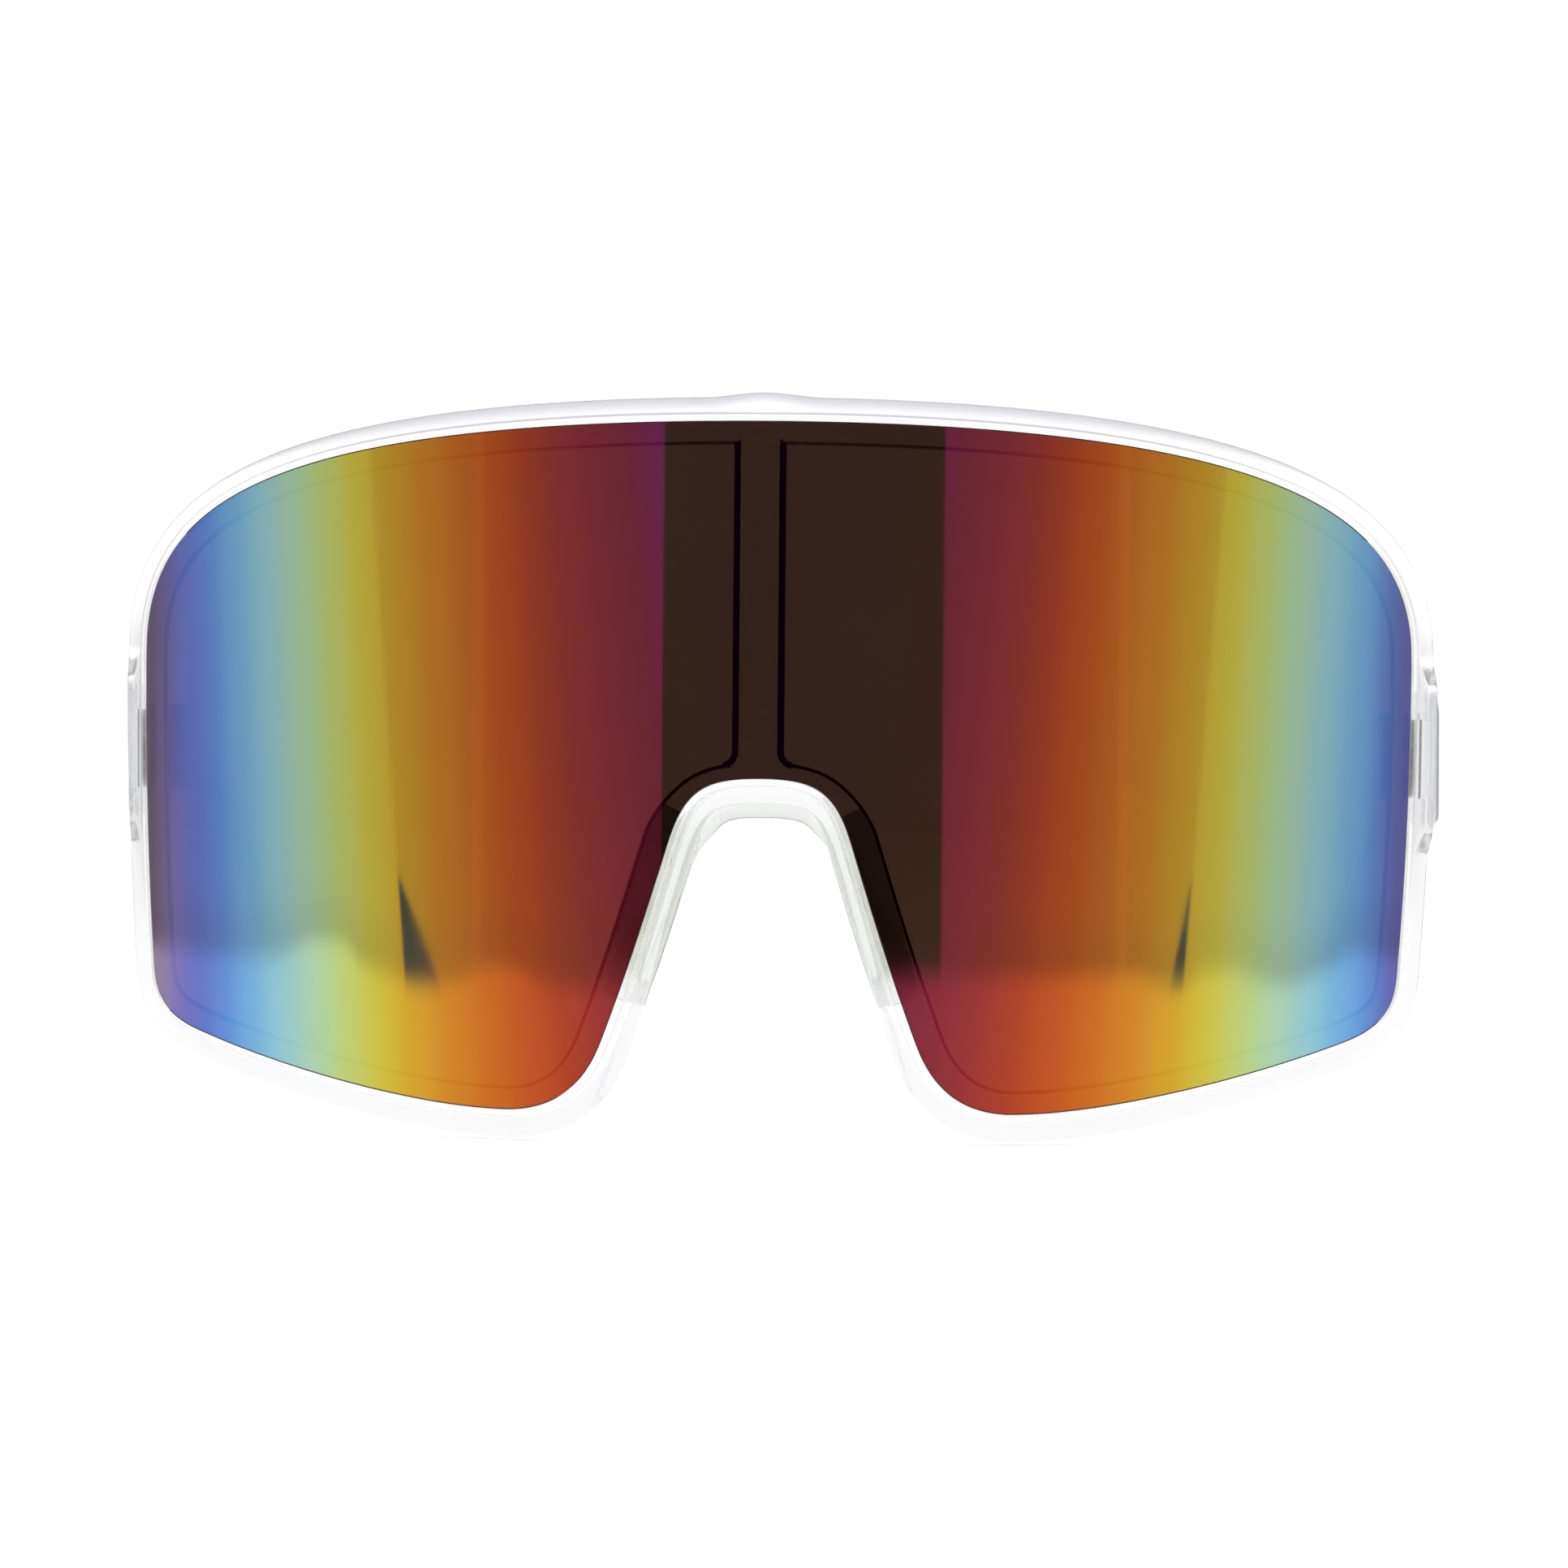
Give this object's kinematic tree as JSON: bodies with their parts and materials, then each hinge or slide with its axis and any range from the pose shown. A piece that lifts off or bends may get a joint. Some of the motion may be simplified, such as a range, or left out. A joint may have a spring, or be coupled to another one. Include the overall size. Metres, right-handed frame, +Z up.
{
  "type": "shield sunglasses",
  "caption": "Oversize shield sunglasses: one wrapped mirror lens in a clear frame with a soft nose saddle and folding temples.",
  "frame": {"origin": "on the table, under the middle of the open glasses: the middle of the box's underside", "axes": "+X to the wearer's left, +Y from the lens back along the temples, +Z up; the lens faces -Y"},
  "size_m": [0.1606, 0.1692, 0.0807],
  "materials": {
    "clear_frame": "frosted clear moulding",
    "mirror_lens": "rainbow mirror over smoke",
    "nose_silicone": "clear soft satin",
    "hinge_metal": "satin",
    "screw_metal": "bright"
  },
  "bodies": {
    "front": {"front_frame": "clear_frame", "shield_lens": "mirror_lens", "nose_piece": "nose_silicone", "left_front_hinge_leaf": "hinge_metal", "right_front_hinge_leaf": "hinge_metal", "left_hinge_screw": "screw_metal", "right_hinge_screw": "screw_metal"},
    "left_arm": {"left_temple": "clear_frame", "left_temple_hinge_leaf": "hinge_metal"},
    "right_arm": {"right_temple": "clear_frame", "right_temple_hinge_leaf": "hinge_metal"}
  },
  "joints": [
    {"name": "left_temple_fold", "type": "hinge", "parent": "front", "child": "left_arm", "pos_m": [0.07105, -0.03492, 0.0422], "axis": [0, 0, 1], "range_deg": [0, 96]},
    {"name": "right_temple_fold", "type": "hinge", "parent": "front", "child": "right_arm", "pos_m": [-0.07105, -0.03492, 0.0422], "axis": [0, 0, -1], "range_deg": [0, 90]}
  ]
}
